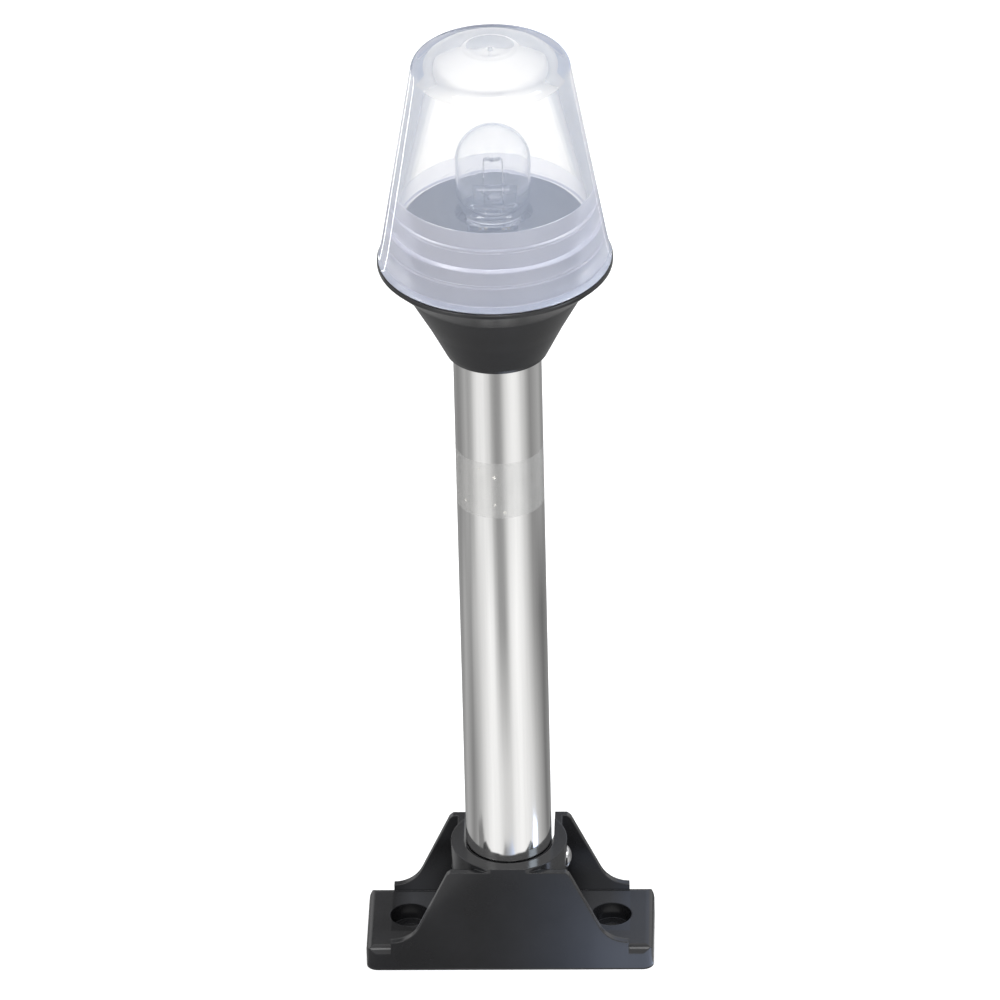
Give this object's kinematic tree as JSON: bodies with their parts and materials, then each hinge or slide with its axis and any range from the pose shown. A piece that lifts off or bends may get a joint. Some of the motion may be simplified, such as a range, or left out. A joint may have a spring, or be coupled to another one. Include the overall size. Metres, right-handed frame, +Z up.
{
  "type": "navigation light",
  "caption": "Fold-down all-round navigation light: a clear screw-on lens over a wedge bulb, on a short tube pole that folds back on a deck bracket.",
  "frame": {"origin": "middle of the base's mounting face, on the deck", "axes": "+Z up along the pole, +X along the base to the pin's domed end, +Y towards the side the pole folds down to"},
  "size_m": [0.064, 0.0506, 0.2275],
  "materials": {
    "black_plastic": "fine moulded satin",
    "holder_plastic": "moulded satin",
    "pole_metal": "polished and anodised",
    "bright_steel": "turned, bright",
    "contact_brass": "stamped spring brass",
    "tinned_metal": "tinned",
    "wire_black": "insulation",
    "wire_grey": "insulation",
    "seal_rubber": "smooth",
    "clear_lens": "clear polycarbonate",
    "clear_tape": "hazy clear film",
    "bulb_clear": "clear glass",
    "tungsten": "drawn wire"
  },
  "bodies": {
    "base": {"base_bracket": "black_plastic", "pivot_pin": "bright_steel"},
    "pole": {"pole_knuckle": "black_plastic", "pole_tube": "pole_metal", "tube_tape": "clear_tape", "head_housing": "black_plastic", "bulb_holder": "holder_plastic", "holder_screws": "bright_steel", "contact_left": "contact_brass", "contact_right": "contact_brass", "terminal_left": "tinned_metal", "terminal_right": "tinned_metal", "wire_left": "wire_black", "wire_right": "wire_grey"},
    "seal": {"lens_seal": "seal_rubber"},
    "lens": {"lens": "clear_lens"},
    "bulb": {"bulb_glass": "bulb_clear", "bulb_filament": "tungsten", "bulb_support_wires": "tungsten", "bulb_bead": "bulb_clear", "bulb_base_leads": "tinned_metal"}
  },
  "joints": [
    {"name": "pole_fold", "type": "hinge", "parent": "base", "child": "pole", "pos_m": [0, 0, 0.0222], "axis": [-1, 0, 0], "range_deg": [0, 88]},
    {"name": "lens_rise", "type": "slide", "parent": "pole", "child": "seal", "axis": [0, 0, 1], "range_m": [0, 0.006]},
    {"name": "lens_turn", "type": "hinge", "parent": "seal", "child": "lens", "pos_m": [0, 0, 0.19], "axis": [0, 0, 1], "range_deg": [0, 540.01]},
    {"name": "bulb_pull", "type": "slide", "parent": "pole", "child": "bulb", "axis": [0, 0, 1], "range_m": [0, 0.01]}
  ],
  "couplings": [
    {"joint": "lens_turn", "follows": "lens_rise", "rad_per_m": 1570.8}
  ]
}
